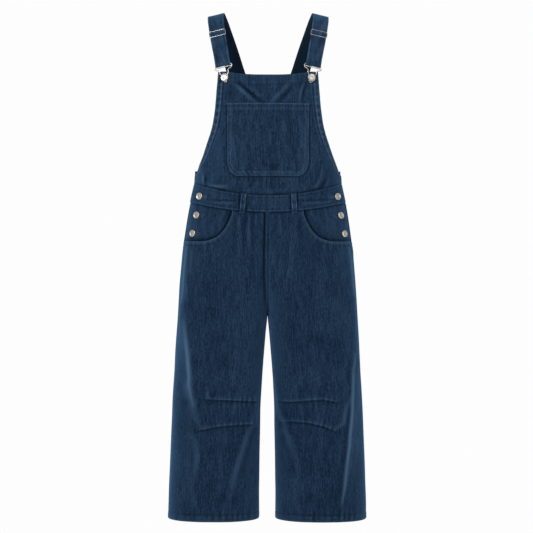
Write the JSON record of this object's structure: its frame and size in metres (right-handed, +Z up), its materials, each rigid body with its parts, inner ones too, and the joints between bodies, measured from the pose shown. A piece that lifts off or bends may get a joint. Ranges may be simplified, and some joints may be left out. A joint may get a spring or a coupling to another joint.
{
  "type": "bib overalls",
  "caption": "Wide-leg corduroy bib overalls, filled out as worn, with a buttoned side opening, a bib pocket, scooped hip pockets and buckled shoulder straps.",
  "frame": {"origin": "midway between the two shoulder straps, level with the underside of their inner edges at the crest, where the wearer's shoulders hold the garment up", "axes": "+X towards the wearer's left, -Y towards the front, +Z up"},
  "size_m": [0.514, 0.2369, 1.3099],
  "materials": {
    "corduroy": "fine-wale cotton corduroy, dark blue, soft nap",
    "corduroy_bib": "fine-wale cotton corduroy, dark blue, doubled and topstitched",
    "nickel": "polished nickel-plated wire",
    "button_metal": "satin silver-coloured button metal"
  },
  "bodies": {
    "root": {"bib": "corduroy_bib", "bib_pocket": "corduroy_bib", "back_panel": "corduroy_bib", "waistband_front": "corduroy_bib", "waistband_back": "corduroy_bib", "front_leg_right": "corduroy", "front_leg_left": "corduroy", "back_leg_right": "corduroy", "back_leg_left": "corduroy", "pocket_facing_right": "corduroy", "pocket_facing_left": "corduroy", "strap_right": "corduroy_bib", "strap_left": "corduroy_bib", "belt_loop_front_right": "corduroy_bib", "belt_loop_front_left": "corduroy_bib", "belt_loop_back_right": "corduroy_bib", "belt_loop_back_centre": "corduroy_bib", "belt_loop_back_left": "corduroy_bib", "slider_right": "nickel", "slider_left": "nickel", "buckle_right": "nickel", "buckle_left": "nickel", "bib_button_right": "button_metal", "bib_button_left": "button_metal", "side_button_right_1": "button_metal", "side_button_right_2": "button_metal", "side_button_right_3": "button_metal", "side_button_left_1": "button_metal", "side_button_left_2": "button_metal", "side_button_left_3": "button_metal"}
  },
  "joints": []
}
